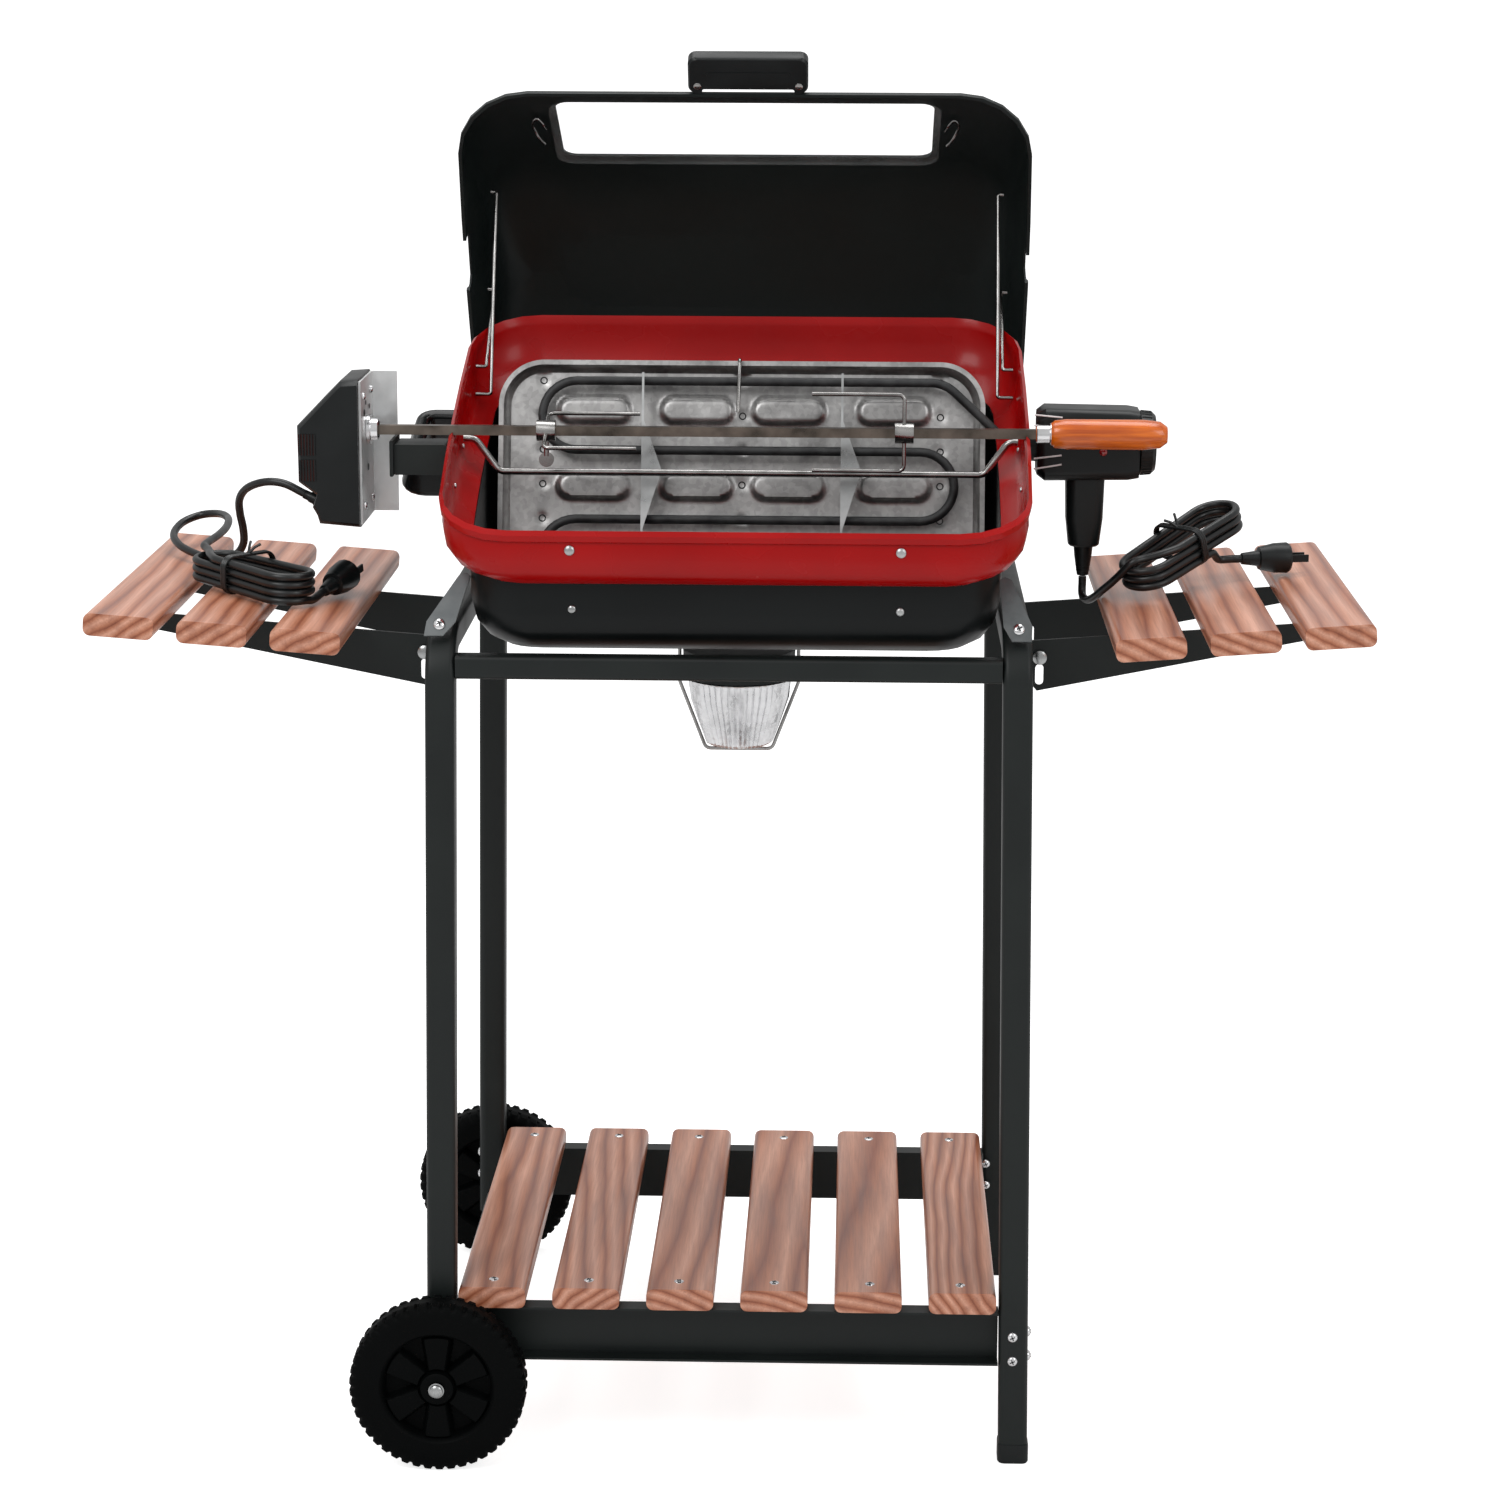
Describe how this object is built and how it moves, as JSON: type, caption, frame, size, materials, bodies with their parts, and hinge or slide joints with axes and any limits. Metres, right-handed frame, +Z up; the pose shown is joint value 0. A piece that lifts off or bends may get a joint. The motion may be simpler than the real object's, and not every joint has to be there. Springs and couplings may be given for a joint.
{
  "type": "rotisserie spit roaster",
  "caption": "Electric rotisserie grill on a two-wheeled cart, with a hinged windowed lid, a motor-driven spit with forks, wooden shelves and a plug-in thermostat.",
  "frame": {"origin": "middle of the whole cart's footprint, on the ground", "axes": "+X to the right as one faces the open front, -Y towards the front, +Z up"},
  "size_m": [1.0604, 0.569, 1.1981],
  "materials": {
    "black_paint": "satin black powder coat",
    "lid_paint": "semi-matt black enamel",
    "pan_paint": "semi-matt black enamel",
    "red_enamel": "glossy red porcelain enamel",
    "stained_wood": "reddish-brown stained softwood, semi-gloss",
    "handle_wood": "varnished turned wood",
    "wheel_plastic": "moulded black plastic",
    "black_plastic": "moulded black phenolic",
    "plug_rubber": "moulded black PVC",
    "cord_rubber": "black PVC sheath",
    "aluminised_steel": "aluminised sheet",
    "zinc_steel": "zinc plated",
    "plated_steel": "nickel-plated wire",
    "spit_steel": "plated square bar",
    "motor_steel": "bright plated sheet",
    "element_steel": "dark oxidised sheath",
    "glass": "clear",
    "foil": "crumpled foil"
  },
  "bodies": {
    "cart": {"leg_frame_left": "black_paint", "leg_frame_right": "black_paint", "crossbar_front": "black_paint", "crossbar_rear": "black_paint", "shelf_rail_front": "black_paint", "shelf_rail_rear": "black_paint", "bottom_slat_1": "stained_wood", "bottom_slat_2": "stained_wood", "bottom_slat_3": "stained_wood", "bottom_slat_4": "stained_wood", "bottom_slat_5": "stained_wood", "bottom_slat_6": "stained_wood", "axle": "zinc_steel", "bowl_lower": "pan_paint", "bowl_upper": "red_enamel", "reflector_pan": "aluminised_steel", "heating_element": "element_steel", "element_support_left": "zinc_steel", "element_support_right": "zinc_steel", "grid_wire": "plated_steel", "motor_housing": "black_plastic", "motor_plate": "motor_steel", "motor_bracket": "black_paint", "side_handle": "black_plastic", "controller_body": "black_plastic", "cord_relief": "black_plastic", "motor_cord": "cord_rubber", "controller_cord": "cord_rubber", "grease_cup": "foil", "cup_wire": "plated_steel"},
    "lid": {"lid": "lid_paint", "lid_window": "glass", "lid_handle": "black_plastic"},
    "lid_stay_left": {"lid_stay_left": "plated_steel"},
    "lid_stay_right": {"lid_stay_right": "plated_steel"},
    "lid_link_left": {"lid_link_left": "plated_steel"},
    "lid_link_right": {"lid_link_right": "plated_steel"},
    "spit": {"spit_rod": "spit_steel", "spit_handle": "handle_wood"},
    "fork_left": {"fork_left": "plated_steel"},
    "fork_right": {"fork_right": "plated_steel"},
    "fork_screw": {"fork_screw": "plated_steel"},
    "wheel_front": {"wheel_front": "wheel_plastic"},
    "wheel_rear": {"wheel_rear": "wheel_plastic"},
    "shelf_left": {"shelf_slat_left_1": "stained_wood", "shelf_slat_left_2": "stained_wood", "shelf_slat_left_3": "stained_wood", "shelf_bracket_left_front": "black_paint", "shelf_bracket_left_rear": "black_paint", "motor_cord_bundle": "cord_rubber", "motor_plug": "plug_rubber"},
    "shelf_right": {"shelf_slat_right_1": "stained_wood", "shelf_slat_right_2": "stained_wood", "shelf_slat_right_3": "stained_wood", "shelf_bracket_right_front": "black_paint", "shelf_bracket_right_rear": "black_paint", "controller_cord_bundle": "cord_rubber", "controller_plug": "plug_rubber"},
    "controller_dial": {"controller_dial": "black_plastic"}
  },
  "joints": [
    {"name": "lid_hinge", "type": "hinge", "parent": "cart", "child": "lid", "pos_m": [0.004, 0.07324, 0.82912], "axis": [1, 0, 0], "range_deg": [0, 80.7]},
    {"name": "lid_stay_left_swing", "type": "hinge", "parent": "cart", "child": "lid_stay_left", "pos_m": [-0.2215, 0.02936, 0.895], "axis": [1, 0, 0], "range_deg": [0, 114]},
    {"name": "lid_stay_right_swing", "type": "hinge", "parent": "cart", "child": "lid_stay_right", "pos_m": [0.2295, 0.02936, 0.895], "axis": [1, 0, 0], "range_deg": [0, 114]},
    {"name": "lid_link_left_swing", "type": "hinge", "parent": "cart", "child": "lid_link_left", "pos_m": [-0.226, 0.03533, 0.919], "axis": [1, 0, 0], "range_deg": [0, 157]},
    {"name": "lid_link_right_swing", "type": "hinge", "parent": "cart", "child": "lid_link_right", "pos_m": [0.234, 0.03533, 0.919], "axis": [1, 0, 0], "range_deg": [0, 157]},
    {"name": "spit_spin", "type": "hinge", "parent": "cart", "child": "spit", "pos_m": [0, -0.098, 0.8804], "axis": [1, 0, 0], "continuous": true},
    {"name": "fork_left_slide", "type": "slide", "parent": "spit", "child": "fork_left", "axis": [1, 0, 0], "range_m": [-0.035, 0.1]},
    {"name": "fork_right_slide", "type": "slide", "parent": "spit", "child": "fork_right", "axis": [1, 0, 0], "range_m": [-0.1, 0.055]},
    {"name": "fork_screw_turn", "type": "hinge", "parent": "fork_left", "child": "fork_screw", "pos_m": [-0.1617, -0.098, 0.855], "axis": [0, 0, 1], "continuous": true},
    {"name": "wheel_front_spin", "type": "hinge", "parent": "cart", "child": "wheel_front", "pos_m": [-0.24807, -0.264, 0.0762], "axis": [0, 1, 0], "continuous": true},
    {"name": "wheel_rear_spin", "type": "hinge", "parent": "cart", "child": "wheel_rear", "pos_m": [-0.24807, 0.264, 0.0762], "axis": [0, 1, 0], "continuous": true},
    {"name": "shelf_left_fold", "type": "hinge", "parent": "cart", "child": "shelf_left", "pos_m": [-0.258, -0.078, 0.698], "axis": [0, -1, 0], "range_deg": [0, 85]},
    {"name": "shelf_right_fold", "type": "hinge", "parent": "cart", "child": "shelf_right", "pos_m": [0.258, -0.078, 0.698], "axis": [0, 1, 0], "range_deg": [0, 85]},
    {"name": "dial_turn", "type": "hinge", "parent": "cart", "child": "controller_dial", "pos_m": [0.3499, -0.042, 0.866], "axis": [1, 0, 0], "range_deg": [0, 270]}
  ],
  "couplings": [
    {"joint": "lid_stay_left_swing", "follows": "lid_hinge", "ratio": 1.3917},
    {"joint": "lid_stay_right_swing", "follows": "lid_hinge", "ratio": 1.3917},
    {"joint": "lid_link_left_swing", "follows": "lid_hinge", "ratio": 1.9208},
    {"joint": "lid_link_right_swing", "follows": "lid_hinge", "ratio": 1.9208}
  ]
}
